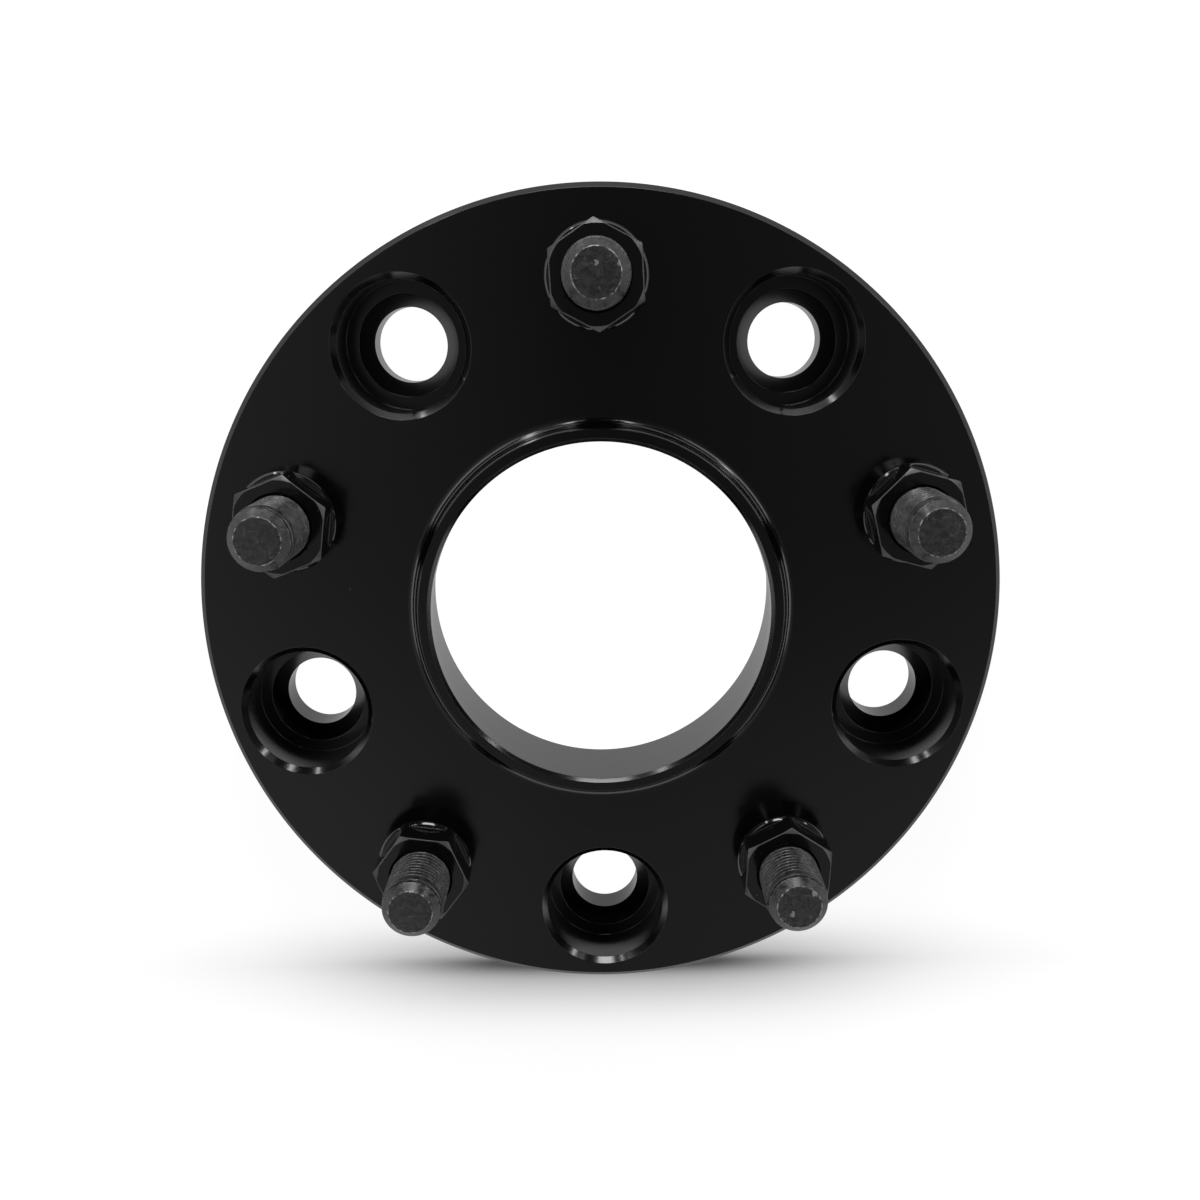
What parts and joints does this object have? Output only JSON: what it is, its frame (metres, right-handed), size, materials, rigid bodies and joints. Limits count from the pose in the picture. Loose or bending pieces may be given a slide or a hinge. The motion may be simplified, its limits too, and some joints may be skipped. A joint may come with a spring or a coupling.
{
  "type": "wheel spacer",
  "caption": "Hub-centric bolt-on wheel spacer: black aluminium disc with pilot lip, pressed-in wheel studs carrying conical nuts, and counterbored bolt holes.",
  "frame": {"origin": "centre of the back face, on the disc's axis, where the spacer meets the vehicle's hub", "axes": "+Z along the disc's axis, out of the front face and along the wheel studs; +Y towards the stud that is at the top in the picture"},
  "size_m": [0.16, 0.16, 0.0564],
  "materials": {
    "anodised_body": "hard anodised black, satin with a soft reflection",
    "stud_steel": "dark phosphated steel, worn bright on the tip's edges",
    "nut_black": "gloss black plated steel"
  },
  "bodies": {
    "root": {"spacer_body": "anodised_body", "wheel_stud_1": "stud_steel", "lug_nut_1": "nut_black", "wheel_stud_2": "stud_steel", "lug_nut_2": "nut_black", "wheel_stud_3": "stud_steel", "lug_nut_3": "nut_black", "wheel_stud_4": "stud_steel", "lug_nut_4": "nut_black", "wheel_stud_5": "stud_steel", "lug_nut_5": "nut_black"}
  },
  "joints": []
}
